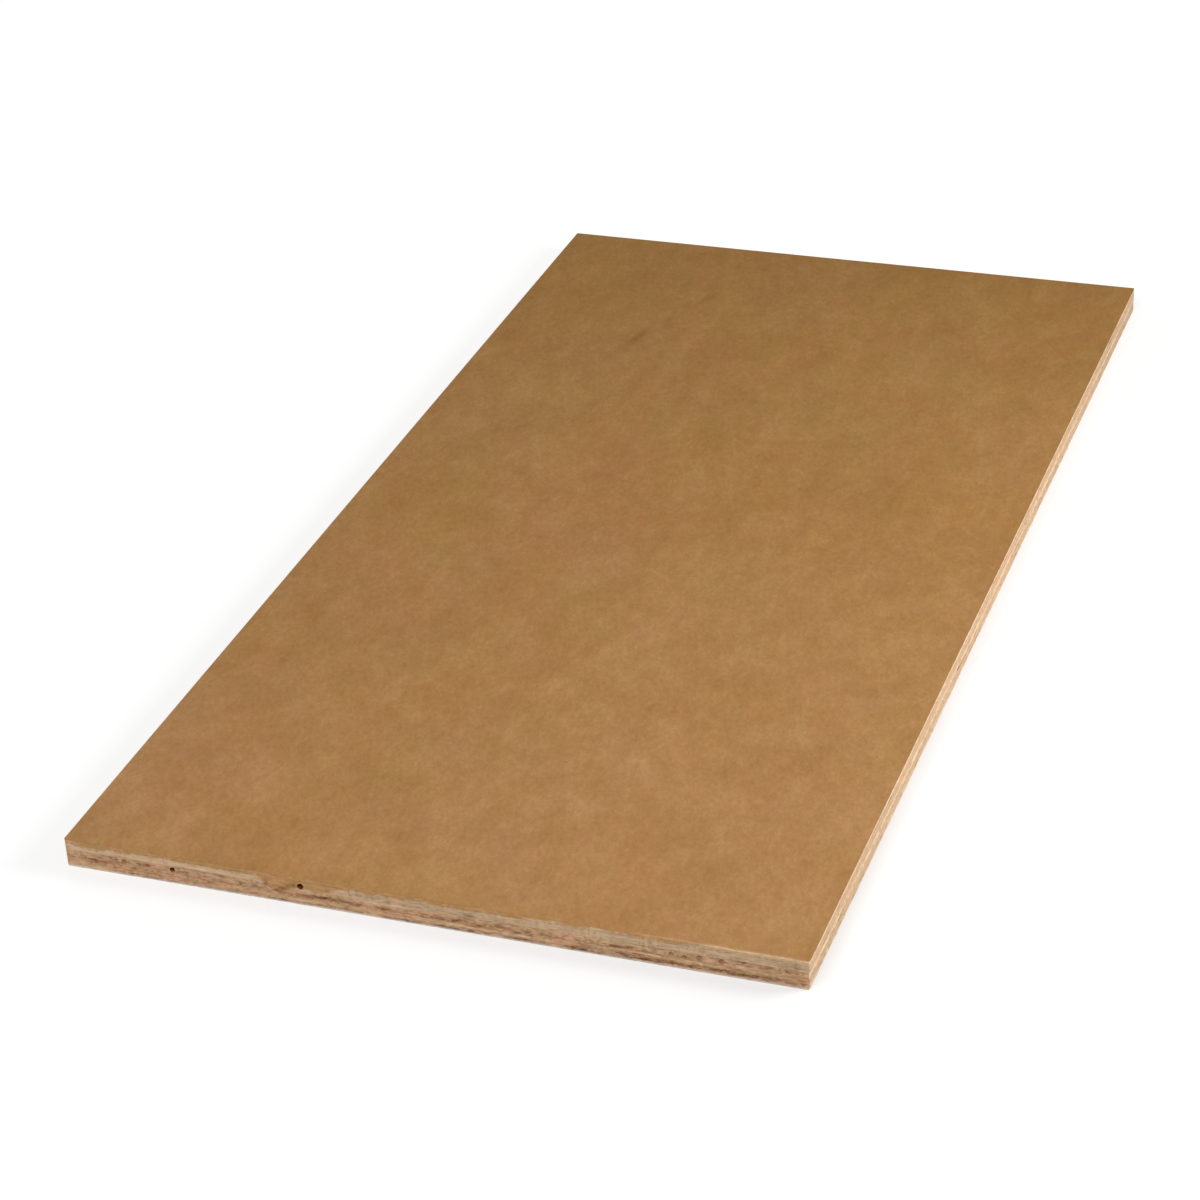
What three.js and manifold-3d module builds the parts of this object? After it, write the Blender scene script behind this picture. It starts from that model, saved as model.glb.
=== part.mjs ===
// A small softwood plywood sheet with a resin-paper overlay on its face.
//
// Millimetres, +Z up. X runs across the sheet, Y along it, which is also the grain of the
// outer veneers. The sheet lies on its back: the back veneer's underside is z = 0, and the
// origin is below the middle of the sheet.
//
// The build-up, from the floor: back veneer, lower crossband, centre ply, upper crossband,
// face veneer, and one sheet of resin-soaked kraft paper. Each layer is one flat piece, cut
// to the same plan outline, and lies face to face on the layer below. What tells the layers
// apart is at the near end, y = -sheetLength / 2: a knot hole in the upper crossband, small
// voids in the centre ply, and a stretch where the paper has worn back from the arris.

import * as THREE from 'three';
import { mergeVertices } from 'three/addons/utils/BufferGeometryUtils.js';
import Module from 'manifold-3d';

const wasm = await Module();
wasm.setup();

// The sheet
const sheetWidth = 457.2; // 18 in across
const sheetLength = 914.4; // 36 in along the outer grain
const cornerRadius = 2; // bruised plan corners

// The layers, which add up to 19.05, or 3/4 in
const overlayThickness = 0.3;
const outerVeneerThickness = 2.6; // the face and the back
const crossbandThickness = 4.5; // grain across the sheet
const centreThickness = 4.55; // grain along the sheet

// Knot hole in the upper crossband, open at the near end
const knotHole = { fromLeft: 152, level: 13.5, width: 4, height: 3.4, depth: 9 };

// Voids in the centre ply, where its strips of veneer don't quite meet. Each is open at the
// near end, and runs along the grain until it closes.
const coreVoids = [
  { fromLeft: 38.8, level: 10.1, width: 2.6, height: 2.2, depth: 12 },
  { fromLeft: 54.4, level: 9.7, width: 3, height: 1.7, depth: 5 },
  { fromLeft: 70.5, level: 9.5, width: 3, height: 2.8, depth: 16 },
  { fromLeft: 343, level: 8.4, width: 3.4, height: 1.9, depth: 7 },
  { fromLeft: 353, level: 8.9, width: 3, height: 2.4, depth: 9 },
  { fromLeft: 361.5, level: 8.3, width: 2.6, height: 1.9, depth: 6 },
  { fromLeft: 377, level: 9.5, width: 2.4, height: 2.4, depth: 8 },
  { fromLeft: 384.5, level: 8.8, width: 2.6, height: 2, depth: 7 },
  { fromLeft: 393.5, level: 9.6, width: 3, height: 2.4, depth: 9 },
  { fromLeft: 406.5, level: 9.5, width: 2.8, height: 3.2, depth: 12 },
];
const roundSegments = 14;

// Worn arris: from this far along the near end to the right corner, the paper is missing
const wearFromLeft = 335;
const wearFadeIn = 60; // length over which the wear reaches its full depth
const wearDepth = 1; // mean width of bare wood
const wearRipple = 0.45; // how far the torn edge wanders to each side of the mean
const wearWave = 31; // length of one wander
const wearPointSpacing = 4;

const left = -sheetWidth / 2;
const right = sheetWidth / 2;
const near = -sheetLength / 2;
const far = sheetLength / 2;

const cornerSegments = 6;
const kraftPaper = { color: 0xa97f4e, roughness: 0.5, metalness: 0 };
const longGrain = { color: 0xbb9c78, roughness: 0.85, metalness: 0 };
const endGrain = { color: 0xa07a55, roughness: 0.9, metalness: 0 };

// How far the paper has worn back from the near arris at x. It rises from nothing over the
// fade-in, and then wanders about its mean on two waves whose lengths share no multiple.
function paperWear(x) {
  const along = Math.max(0, x - (left + wearFromLeft));
  const phase = (2 * Math.PI * along) / wearWave;
  const wander = (Math.sin(phase) + Math.sin(phase * Math.SQRT2 + 1)) / 2;
  return THREE.MathUtils.smoothstep(along, 0, wearFadeIn) * (wearDepth + wearRipple * wander);
}

// The torn edge of the paper, from sound paper on the left up to the right corner.
function tornEdge(edge) {
  const start = left + wearFromLeft;
  const run = right - cornerRadius - start;
  const steps = Math.ceil(run / wearPointSpacing);
  for (let i = 0; i <= steps; i++) {
    const x = start + (run * i) / steps;
    edge.lineTo(x, near + paperWear(x));
  }
}

// The plan outline, anticlockwise from the near left corner. The paper's has a torn near
// edge, and its near right corner stands back by the wear.
function outline(torn) {
  const r = cornerRadius;
  const cornerWear = torn ? paperWear(right - r) : 0;
  const shape = new THREE.Shape();
  shape.moveTo(left + r, near);
  if (torn) tornEdge(shape);
  shape.lineTo(right - r, near + cornerWear);
  shape.absarc(right - r, near + cornerWear + r, r, -Math.PI / 2, 0, false);
  shape.lineTo(right, far - r);
  shape.absarc(right - r, far - r, r, 0, Math.PI / 2, false);
  shape.lineTo(left + r, far);
  shape.absarc(left + r, far - r, r, Math.PI / 2, Math.PI, false);
  shape.lineTo(left, near + r);
  shape.absarc(left + r, near + r, r, Math.PI, Math.PI * 1.5, false);
  return shape;
}

// Turns a closed geometry into a solid that can be cut.
function toSolid(geometry) {
  geometry.deleteAttribute('normal');
  geometry.deleteAttribute('uv');
  const merged = mergeVertices(geometry);
  const vertProperties = merged.attributes.position.array;
  const triVerts = merged.index.array;
  return new wasm.Manifold(new wasm.Mesh({ numProp: 3, vertProperties, triVerts }));
}

// Turns a cut solid back into a geometry.
function toGeometry(solid) {
  const { vertProperties, triVerts } = solid.getMesh();
  const geometry = new THREE.BufferGeometry();
  geometry.setAttribute('position', new THREE.BufferAttribute(vertProperties, 3));
  geometry.setIndex(new THREE.BufferAttribute(triVerts, 1));
  geometry.computeVertexNormals();
  return geometry;
}

// A hollow that is open at the near end: half of an ellipsoid whose middle lies on the end.
function hollow({ fromLeft, level, width, height, depth }) {
  const round = new THREE.SphereGeometry(1, roundSegments, roundSegments / 2);
  round.scale(width / 2, depth, height / 2);
  round.translate(left + fromLeft, near, level);
  return toSolid(round);
}

// One layer between two levels. It is extruded by one unit and stretched to its thickness
// in place, so that its top and the underside of the next layer are the same number.
function layer(name, underside, thickness, finish, hollows, torn) {
  const slab = new THREE.ExtrudeGeometry(outline(torn), {
    depth: 1,
    bevelEnabled: false,
    curveSegments: cornerSegments,
  });
  const place = new THREE.Matrix4().makeTranslation(0, 0, underside);
  slab.applyMatrix4(place.scale(new THREE.Vector3(1, 1, thickness)));
  let geometry = slab;
  if (hollows.length > 0) {
    let solid = toSolid(slab);
    for (const each of hollows) solid = solid.subtract(hollow(each));
    geometry = toGeometry(solid);
  }
  const mesh = new THREE.Mesh(geometry, new THREE.MeshStandardMaterial(finish));
  mesh.name = name;
  return mesh;
}

const buildUp = [
  { name: 'back_veneer', thickness: outerVeneerThickness, finish: endGrain },
  { name: 'lower_crossband', thickness: crossbandThickness, finish: longGrain },
  { name: 'centre_ply', thickness: centreThickness, finish: endGrain, hollows: coreVoids },
  {
    name: 'upper_crossband',
    thickness: crossbandThickness,
    finish: longGrain,
    hollows: [knotHole],
  },
  { name: 'face_veneer', thickness: outerVeneerThickness, finish: endGrain },
  { name: 'face_overlay', thickness: overlayThickness, finish: kraftPaper, torn: true },
];

const plywoodSheet = new THREE.Group();
plywoodSheet.name = 'plywood_sheet';

let level = 0;
for (const { name, thickness, finish, hollows = [], torn = false } of buildUp) {
  plywoodSheet.add(layer(name, level, thickness, finish, hollows, torn));
  level += thickness;
}

export default plywoodSheet;
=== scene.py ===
# %% [markdown]
# # A sheet of overlaid plywood
#
# Plywood is a stack of thin veneers, peeled from a log and glued with the grain of each one
# across the grain of the next. This sheet has five of them and, on its face, one layer of
# brown kraft paper soaked in resin, which makes a smooth skin for paint or concrete forms.
# The solids of the six layers come from the CAD model. This lesson gives them the surfaces
# of the real thing: cloudy paper, sawn wood, a knot hole and an edge worn by handling.

import math
from collections import namedtuple

import bpy
import numpy as np
from mathutils import Matrix, Vector


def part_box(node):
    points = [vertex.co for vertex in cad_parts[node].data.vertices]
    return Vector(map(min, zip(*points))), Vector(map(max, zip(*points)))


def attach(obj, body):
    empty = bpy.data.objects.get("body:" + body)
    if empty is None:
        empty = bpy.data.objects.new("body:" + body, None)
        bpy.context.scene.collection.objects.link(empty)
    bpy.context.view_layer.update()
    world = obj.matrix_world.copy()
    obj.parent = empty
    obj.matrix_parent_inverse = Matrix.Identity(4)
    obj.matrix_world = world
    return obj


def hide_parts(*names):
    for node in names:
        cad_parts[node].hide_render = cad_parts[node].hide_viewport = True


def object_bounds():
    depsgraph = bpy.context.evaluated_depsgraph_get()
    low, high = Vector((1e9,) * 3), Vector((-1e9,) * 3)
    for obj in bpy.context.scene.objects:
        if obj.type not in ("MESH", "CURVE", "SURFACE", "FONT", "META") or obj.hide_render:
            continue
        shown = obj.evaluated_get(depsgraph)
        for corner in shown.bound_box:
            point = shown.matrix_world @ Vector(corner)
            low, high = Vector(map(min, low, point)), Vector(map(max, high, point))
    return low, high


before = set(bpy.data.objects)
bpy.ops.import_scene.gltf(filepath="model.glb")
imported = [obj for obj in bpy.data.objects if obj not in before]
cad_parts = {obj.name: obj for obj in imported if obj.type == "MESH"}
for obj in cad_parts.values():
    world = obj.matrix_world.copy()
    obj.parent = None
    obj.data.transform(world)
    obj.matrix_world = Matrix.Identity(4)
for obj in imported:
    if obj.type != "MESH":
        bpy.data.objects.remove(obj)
cad_box = [list(corner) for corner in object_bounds()]
mm = 0.001
left, near, floor_level = cad_box[0]
right, far, top = cad_box[1]
print("nodes:", ", ".join(sorted(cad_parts)))
print("size in mm:", [round((b - a) / mm, 2) for a, b in zip(*cad_box)])

# %% [markdown]
# ## The camera
#
# A long lens, about 100 mm on a full frame, looks down at thirty degrees over the near right
# corner. Blender could aim the camera with a constraint, but a matrix from three directions,
# right, up and back, is plain arithmetic and also takes the small roll of a hand-held shot.

# %% Camera
camera_place = Vector((0.6471, -1.8786, 1.0987))
camera_aim = Vector((-0.0255, -0.0764, 0.0))
camera_lens = 99.45
full_frame = 36  # the width of the sensor, and the lens too, in millimetres
camera_roll = math.radians(-2.83)

forward = (camera_aim - camera_place).normalized()
level = forward.cross(Vector((0, 0, 1))).normalized()
upright = level.cross(forward)
camera_right = level * math.cos(camera_roll) + upright * math.sin(camera_roll)
camera_up = camera_right.cross(forward)

camera = bpy.data.objects.new("camera", bpy.data.cameras.new("camera"))
bpy.context.scene.collection.objects.link(camera)
camera.data.lens = camera_lens
camera.data.sensor_width = full_frame
turn = Matrix((camera_right, camera_up, -forward)).transposed()
camera.matrix_world = Matrix.Translation(camera_place) @ turn.to_4x4()
bpy.context.scene.camera = camera
print("camera", round((camera_aim - camera_place).length, 3), "m from the sheet")

# %% [markdown]
# ## Lamps
#
# Three large soft lamps light the sheet as in a studio. The key lamp hangs in front of the
# near end, so the far end is a little darker, another stands on the right and picks out the
# sawn side, and a low one behind on the left keeps the two hidden sides from going dull.
# Point lamps would throw hard shadows. An area lamp's are soft without any setting: the larger
# and nearer it is, the softer they fall. The low lamp would glare on the paper, seen against
# it, so it is hidden from reflections.

# %% Lamps
# Each lamp: name, place, the point that it faces, its side in metres and its power in watts
lamps = [
    ("key_lamp", (-0.059, -1.207, 1.167), (0.05, -0.3, 0), 0.7, 13.7),
    ("side_lamp", (1.147, 0.069, 0.682), (0.23, -0.2, 0), 0.5, 12.0),
    ("fill_lamp", (-1.5, 1.9, 0.45), (-0.1, 0.2, 0), 0.8, 20.0),
]
for name, place, aim, size, power in lamps:
    lamp = bpy.data.objects.new(name, bpy.data.lights.new(name, "AREA"))
    bpy.context.scene.collection.objects.link(lamp)
    lamp.data.shape = "SQUARE"
    lamp.data.size = size
    lamp.data.energy = power
    lamp.location = place
    lamp.rotation_euler = (Vector(aim) - Vector(place)).to_track_quat("-Z", "Y").to_euler()
    lamp.visible_glossy = name != "fill_lamp"
    print(name, round((Vector(aim) - Vector(place)).length, 2), "m away,", power, "W")
bpy.context.scene.view_settings.view_transform = "Standard"

# %% [markdown]
# ## Nodes in short
#
# A finish in Blender is a tree of nodes, wired from socket to socket. Each node could be added
# and linked by hand, in four or five lines. Every finish here needs dozens, so short functions
# take up what repeats: one adds a node with all its inputs, and one does a step of arithmetic.

# %% Node helpers
def new_material(name):
    """An empty node material, its node tree and its output node."""
    material = bpy.data.materials.new(name)
    material.use_nodes = True
    material.node_tree.nodes.clear()
    output = material.node_tree.nodes.new("ShaderNodeOutputMaterial")
    return material, material.node_tree, output


def node(tree, kind, inputs=(), **settings):
    """Adds a node. inputs pairs a socket's name or number with a value or with another socket."""
    made = tree.nodes.new("ShaderNode" + kind)
    for setting, value in settings.items():
        setattr(made, setting, value)
    for socket, value in dict(inputs).items():
        if isinstance(value, bpy.types.NodeSocket):
            tree.links.new(value, made.inputs[socket])
        else:
            made.inputs[socket].default_value = value
    return made


def maths(tree, operation, first, second=0.0, clamp=False):
    """One step of arithmetic on two numbers or sockets."""
    made = node(tree, "Math", {0: first, 1: second}, operation=operation, use_clamp=clamp)
    return made.outputs[0]


def seen_directly(tree):
    """1 for camera, glossy and transmission rays, and 0 for the rays that carry light."""
    rays = node(tree, "LightPath").outputs
    seen = maths(tree, "MAXIMUM", rays["Is Camera Ray"], rays["Is Glossy Ray"])
    return maths(tree, "MAXIMUM", seen, rays["Is Transmission Ray"])


# %% [markdown]
# ## Floor and background
#
# The sheet lies on a white floor that keeps its soft shadow. A floor bright enough to be
# white by itself would throw too much light back, so to the light it is plain pale paint.
# What the camera sees of it is a dimmer paint and a glow, which makes up just what the paint
# lacks of white. The shadows stay, because the glow takes the lamps as never blocked.

# %% World
sky_level = 0.3
world = bpy.data.worlds.new("studio")
bpy.context.scene.world = world
world.use_nodes = True
world.node_tree.nodes.clear()
soft = node(world.node_tree, "Background", {"Color": (1, 1, 1, 1), "Strength": sky_level})
white = node(world.node_tree, "Background", {"Color": (1, 1, 1, 1), "Strength": 1.0})
sky = node(
    world.node_tree,
    "MixShader",
    {0: seen_directly(world.node_tree), 1: soft.outputs[0], 2: white.outputs[0]},
)
node(world.node_tree, "OutputWorld", {"Surface": sky.outputs[0]})
print("the sky lights the sheet at", sky_level, "of white")

# %% Light on the floor
bright_enough = 0.8


def lamp_light(tree, place, aim, size, power):
    """The light of one lamp on the floor: power / pi squared, times the cosines at the lamp and
    at the floor, over the distance squared. With v from the lamp to the floor, the cosines are
    v . facing / |v| and the lamp's height / |v|. A wide lamp gives less close by than a point
    would, so one of the distances squared gains its size squared / pi. The result is 0 behind
    the lamp, and at most bright_enough: close to a lamp this sum is too high, and there the
    floor needs no exact value, because it is white already."""
    facing = (Vector(aim) - Vector(place)).normalized()
    position = node(tree, "TexCoord").outputs["Object"]
    away = node(tree, "VectorMath", {0: position, 1: place}, operation="SUBTRACT").outputs[0]
    inputs = {0: away, 1: facing}
    ahead = node(tree, "VectorMath", inputs, operation="DOT_PRODUCT").outputs["Value"]
    squared = node(tree, "VectorMath", {0: away, 1: away}, operation="DOT_PRODUCT").outputs["Value"]
    widened = maths(tree, "ADD", squared, size**2 / math.pi)
    lit = maths(tree, "DIVIDE", ahead, maths(tree, "MULTIPLY", squared, widened))
    lit = maths(tree, "MULTIPLY", lit, power * place[2] / math.pi**2)
    return node(tree, "Clamp", {"Value": lit, "Min": 0.0, "Max": bright_enough}).outputs[0]


# %% Floor
floor_size = 40
floor_gap = 0.02 * mm
floor_albedo = 0.8
floor_share = 0.45
white_level = 1.02

bpy.ops.mesh.primitive_plane_add(size=floor_size, location=(0, 0, floor_level - floor_gap))
floor = bpy.context.object
floor.name = "floor"
material, tree, output = new_material("white_floor")
paint = node(tree, "BsdfDiffuse", {"Color": (floor_albedo,) * 3 + (1,)})
dimmed = node(tree, "BsdfDiffuse", {"Color": (floor_share,) * 3 + (1,)})
lit = sky_level
for _, *setting in lamps:
    lit = maths(tree, "ADD", lit, lamp_light(tree, *setting))
lack = maths(tree, "SUBTRACT", white_level, maths(tree, "MULTIPLY", lit, floor_share), True)
glow = node(tree, "Emission", {"Color": (1, 1, 1, 1), "Strength": lack})
lifted = node(tree, "AddShader", {0: dimmed.outputs[0], 1: glow.outputs[0]})
shown = node(
    tree, "MixShader", {0: seen_directly(tree), 1: paint.outputs[0], 2: lifted.outputs[0]}
)
tree.links.new(shown.outputs[0], output.inputs["Surface"])
floor.data.materials.append(material)
print("the floor is", floor_size, "m wide, and its finish has", len(tree.nodes), "nodes")

# %% [markdown]
# ## Numbers that look grown
#
# Sawn wood is rough in a way that repeats nowhere. Blender's own noise textures exist only
# inside shaders and modifiers, and here the same noise has to move vertices, so it is worked
# out in numpy, for a whole array of points at once.

# %% Noise
lattice = 256
octave_shift = (17.3, 5.1)


def cloud(u, v, seed, octaves=4, fade=0.5):
    """Value noise from -1 to 1. Random numbers stand on the whole-number points of a lattice.
    Between them a smooth step, 3t^2 - 2t^3, leads from one to the next along u and along v.
    Each further octave is twice as fine, shifted aside, and fade times as strong."""
    table = np.random.default_rng(seed).uniform(-1, 1, (lattice, lattice))
    total, strength, weight = 0, 1.0, 0.0
    for octave in range(octaves):
        a = u * 2**octave + octave_shift[0] * octave
        b = v * 2**octave + octave_shift[1] * octave
        i, j = np.floor(a).astype(int), np.floor(b).astype(int)
        s, t = a - i, b - j
        s, t = s * s * (3 - 2 * s), t * t * (3 - 2 * t)
        i, after_i = i % lattice, (i + 1) % lattice
        j, after_j = j % lattice, (j + 1) % lattice
        low = table[i, j] * (1 - s) + table[after_i, j] * s
        high = table[i, after_j] * (1 - s) + table[after_i, after_j] * s
        total = total + strength * (low * (1 - t) + high * t)
        weight += strength
        strength *= fade
    return total / weight


def sized_cloud(u, v, size, seed, octaves=4):
    """The same noise over lengths: its widest swells are size[0] along u, size[1] along v."""
    return cloud(u / size[0], v / size[1], seed, octaves)


def rise(value, low, high):
    """0 below low, 1 above high, and a smooth step between them."""
    t = np.clip((value - low) / (high - low), 0, 1)
    return t * t * (3 - 2 * t)


def bump_at(value, centre, reach):
    """A bell of height 1 at centre, which has fallen to 0.37 at a distance of reach."""
    return np.exp(-(((value - centre) / reach) ** 2))


sample = cloud(*np.meshgrid(np.arange(0, 40, 0.1), np.arange(0, 40, 0.1)), seed=1)
print("noise spans", round(float(sample.min()), 2), "to", round(float(sample.max()), 2))

# %% [markdown]
# ## The plan outline
#
# Every layer was cut by the same saw, so all share one outline: a rectangle with bruised
# corners. Subdividing a box would spend as many points on plain parts as on the rest. So points
# are set along the outline by a rule: more closely near the two ends than along the sides, and
# closest of all at the mouths of the knot hole and of the voids.

# %% Hollows of the near end
# Millimetres, but for the openness: 1 is a clean hole, and less is packed with crumbled fibre
Hollow = namedtuple("Hollow", "from_left level width height depth openness")
knot_hole = Hollow(151.8, 12.9, 3.5, 3.4, 9.0, 1.0)
core_voids = [
    Hollow(38.6, 10.1, 2.4, 2.0, 12.0, 0.4),
    Hollow(54.2, 9.7, 3.2, 1.6, 5.0, 0.4),
    Hollow(69.9, 9.5, 3.0, 2.8, 16.0, 0.95),
    Hollow(343.0, 8.4, 3.4, 1.7, 7.0, 0.25),
    Hollow(353.0, 8.9, 3.4, 1.9, 9.0, 0.3),
    Hollow(361.5, 8.3, 2.8, 1.7, 6.0, 0.25),
    Hollow(377.0, 9.3, 2.4, 2.4, 8.0, 0.42),
    Hollow(384.5, 8.6, 2.6, 2.0, 7.0, 0.4),
    Hollow(393.5, 9.5, 3.0, 2.8, 9.0, 0.42),
    Hollow(406.5, 9.5, 2.6, 3.0, 12.0, 0.38),
]
hollows = [knot_hole] + core_voids
near_edge = near + 1 * mm  # a point beyond it is not on the near end
print(len(hollows), "hollows, the deepest", max(each.depth for each in hollows), "mm deep")

# %% Outline
corner_radius = 1.3 * mm
end_step = 0.5 * mm
side_step = 1.2 * mm
mouth_step = 0.25 * mm
mouth_zone = 0.7  # of a mouth's width, to each side of its middle
end_zone = 25 * mm


def arc(x, y, radius, start, end, steps=8):
    """Points on a circle about (x, y), from one angle to another, in degrees."""
    angle = np.radians(np.linspace(start, end, steps))
    return np.stack([x + radius * np.cos(angle), y + radius * np.sin(angle)], axis=1)


def outline():
    """The plan outline, anticlockwise from the near left corner: points, outward normals and
    distances along it. A running count grows by length over step, and a point is set
    wherever the count passes a whole number, so a short step means close points."""
    r = corner_radius
    walk = [
        [[left + r, near]],
        arc(right - r, near + r, r, -90, 0),
        arc(right - r, far - r, r, 0, 90),
        arc(left + r, far - r, r, 90, 180),
        arc(left + r, near + r, r, 180, 270),
    ]
    corners = np.vstack(walk)
    length = np.append(0, np.cumsum(np.linalg.norm(np.diff(corners, axis=0), axis=1)))
    fine = np.arange(0, length[-1], mouth_step / 4)
    x, y = (np.interp(fine, length, corners[:, k]) for k in (0, 1))
    step = np.where(np.minimum(y - near, far - y) < end_zone, end_step, side_step)
    for each in hollows:
        aside = np.abs(x - left - each.from_left * mm)
        at_mouth = (y < near_edge) & (aside < mouth_zone * each.width * mm)
        step = np.where(at_mouth, mouth_step, step)
    count = np.append(0, np.cumsum(np.diff(fine) / step[1:]))
    along = np.interp(np.arange(0, int(count[-1])), count, fine)
    points = np.stack([np.interp(along, fine, x), np.interp(along, fine, y)], axis=1)
    tangent = np.roll(points, -1, axis=0) - np.roll(points, 1, axis=0)
    tangent /= np.linalg.norm(tangent, axis=1, keepdims=True)
    return points, np.stack([tangent[:, 1], -tangent[:, 0]], axis=1), along


points, normals, along = outline()
print("the outline has", len(points), "points")

# %% [markdown]
# ## Glue lines
#
# Veneers are soft and of uneven thickness, and the press squeezes them flat outside only. So
# the glue lines between them wander. They could be drawn on a straight-sided block, but then
# the relief of each layer wouldn't follow its own line. So here each line is a height over
# the plan. Both veneers that meet at a glue line read the same height, and stay in touch.

# %% Glue lines
stack = ["back_veneer", "lower_crossband", "centre_ply", "upper_crossband", "face_veneer"]
face = len(stack) - 1
glue_wander = 0.45 * mm
glue_wave = (28 * mm, 28 * mm)
end_reach = 40 * mm
thin_spot_x = left + 225 * mm
thin_spot_reach = 60 * mm
thin_spot_drop = {2: 0.7 * mm, 3: 1.1 * mm}
thick_back_rise = 1.0 * mm
thick_back_x = left + 305 * mm
thick_back_fade = 50 * mm


def glue_height(number, x, y):
    """The height of the top of veneer number 1 to 4, counted from the floor: its level in the
    stack plus a slow wander, with a thin spot where the middle lines sag at the near end,
    and a back veneer that grows thicker towards the right."""
    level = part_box(stack[number - 1])[1].z
    height = level + glue_wander * sized_cloud(x, y, glue_wave, seed=20 + number, octaves=5)
    at_end = bump_at(y, near, end_reach)
    sag = thin_spot_drop.get(number, 0) * bump_at(x, thin_spot_x, thin_spot_reach)
    thicker = rise(x, thick_back_x, thick_back_x + thick_back_fade)
    swell = thick_back_rise * thicker * (number == 1)
    return height + at_end * (swell - sag)


probe = np.linspace(left, right, 200)
for number in range(1, len(stack)):
    line = glue_height(number, probe, near) / mm
    print("glue line", number, "runs from", line.min().round(2), "to", line.max().round(2), "mm")

# %% [markdown]
# ## What the saw leaves
#
# A saw cuts no wood quite cleanly. Where it runs along the fibres it lifts them, and leaves
# long ridges and torn slivers. Where it cuts across them it leaves end grain, a dull face
# of open cell ends with small pits. The teeth leave faint upright marks on both. A bump in
# the material would show this only face on, and a Displace modifier knows nothing of the
# grain. So the relief is worked out here, from two recipes, and moves the points themselves.

# %% Relief of the cut
ridge_height = 0.1 * mm
ridge_size = (12 * mm, 0.45 * mm)
sliver_depth = 0.75 * mm
sliver_size = (17 * mm, 1.0 * mm)
sliver_onset = (0.3, 0.75)
grain_height = 0.09 * mm
grain_size = (0.9 * mm, 0.7 * mm)
chip_depth = 0.6 * mm
chip_size = (2.6 * mm, 1.1 * mm)
chip_onset = (0.42, 0.9)
tooth_mark = 0.02 * mm
tooth_pitch = 2.1 * mm
tooth_lean = 0.2


def saw_relief(s, z, end_grain, seed):
    """How far the cut stands back, in metres, from the distance along the outline and the
    height. Along the fibres: ridges far longer than high, and hollows where a slow noise
    passes a threshold. Across them: grains about as wide as high, and small chips. Tooth
    marks are a sine along the outline that leans with the height."""
    ridges = ridge_height * (1 + sized_cloud(s, z, ridge_size, seed, 3))
    torn = sized_cloud(s, z, sliver_size, seed + 1, 3)
    slivers = sliver_depth * rise(torn, *sliver_onset)
    grains = grain_height * (1 + sized_cloud(s, z, grain_size, seed + 2, 2))
    chipped = sized_cloud(s, z, chip_size, seed + 3, 2)
    chips = chip_depth * rise(chipped, *chip_onset)
    teeth = tooth_mark * (1 + np.sin(2 * np.pi * (s + tooth_lean * z) / tooth_pitch))
    return (1 - end_grain) * (ridges + slivers) + end_grain * (grains + chips) + teeth


run, rising = np.meshgrid(np.linspace(0, 200 * mm, 400), np.linspace(0, top, 40))
for kind, end_grain in (("along", 0), ("across", 1)):
    deepest = saw_relief(run, rising, end_grain, seed=40).max() / mm
    print("cut", kind, "the grain, the deepest tear is", deepest.round(2), "mm")

# %% Mouths of the hollows
fray = 0.55
fray_size = (1.3 * mm, 0.9 * mm)
fray_limit = 1.3  # the openness at which a mouth would have no fray at all
off_the_end = -9.0  # the share at points that are not on the near end


def hollow_share(x, y, z, each):
    """1 less the squared distance from a mouth's middle, in half widths and half heights, with
    noise to fray it. It is above 0 inside the mouth, which is an ellipse on the near end."""
    across = (x - left - each.from_left * mm) / (each.width * mm / 2)
    upward = (z - each.level * mm) / (each.height * mm / 2)
    rough = fray * (fray_limit - each.openness)
    frayed = rough * sized_cloud(x, z, fray_size, seed=33, octaves=3)
    return np.where(y < near_edge, 1 - across**2 - upward**2 + frayed, off_the_end)


def hollow_depth(x, y, z):
    """The half ellipsoid behind each mouth: depth times the root of the share. The less open
    ones are packed with crumbled fibre, so their depth is times the cube of openness."""
    total = np.zeros(np.broadcast(x, z).shape)
    for each in hollows:
        share = np.clip(hollow_share(x, y, z, each), 0, 1)
        total = np.maximum(total, each.depth * each.openness**3 * mm * np.sqrt(share))
    return total


for each in hollows:
    depth = round(each.depth * each.openness**3, 2)
    print("the hollow", each.from_left, "mm from the left is at most", depth, "mm deep")

# %% [markdown]
# ## From arrays to a mesh
#
# Each veneer is a closed surface of rings of points: every ring has as many points as the
# last, quads join neighbours, and one flat face closes the bottom and one the top. An
# extruded curve would give such a wall too, but not one whose every point can be moved.

# %% Mesh maker
sharp_angle = math.radians(50)


def finish_mesh(name, vertices, faces, attributes):
    """Makes the object. attributes holds an array of one number for each vertex."""
    mesh = bpy.data.meshes.new(name)
    mesh.from_pydata(vertices.tolist(), [], faces)
    for label, values in attributes.items():
        layer = mesh.attributes.new(label, "FLOAT", "POINT")
        layer.data.foreach_set("value", values.astype(np.float32))
    mesh.polygons.foreach_set("use_smooth", np.ones(len(mesh.polygons), bool))
    mesh.set_sharp_from_angle(angle=sharp_angle)
    piece = bpy.data.objects.new(name, mesh)
    bpy.context.scene.collection.objects.link(piece)
    print(name, "has", len(mesh.polygons), "faces")
    return piece


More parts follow.
